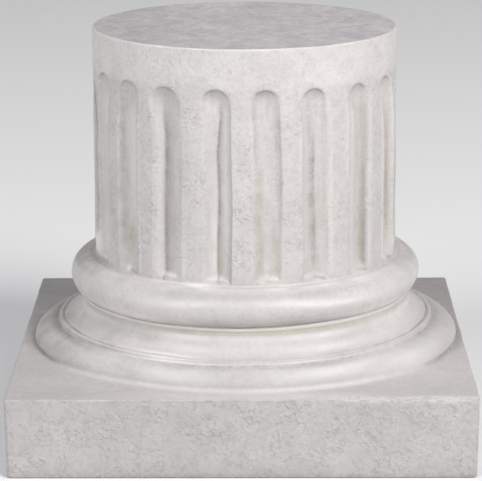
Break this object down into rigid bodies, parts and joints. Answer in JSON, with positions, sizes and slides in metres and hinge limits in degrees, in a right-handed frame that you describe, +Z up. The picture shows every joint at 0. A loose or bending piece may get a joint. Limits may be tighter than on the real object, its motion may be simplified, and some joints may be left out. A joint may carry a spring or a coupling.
{
  "type": "column pedestal",
  "caption": "Display pedestal shaped as the foot of a fluted column: a short round drum on torus and scotia mouldings over a square plinth, with a flat round top.",
  "frame": {"origin": "centre of the square underside, on the surface the pedestal stands on", "axes": "+Z up along the column's axis; -Y is the front, where a land between two flutes faces; X and Y square to the plinth's sides"},
  "size_m": [0.344, 0.344, 0.305],
  "materials": {
    "cast_stone": "matt off-white faux stone, brushed and stippled, with a faint olive-brown wash in the hollows and paler rubbed edges"
  },
  "bodies": {
    "root": {"pedestal": "cast_stone"}
  },
  "joints": []
}
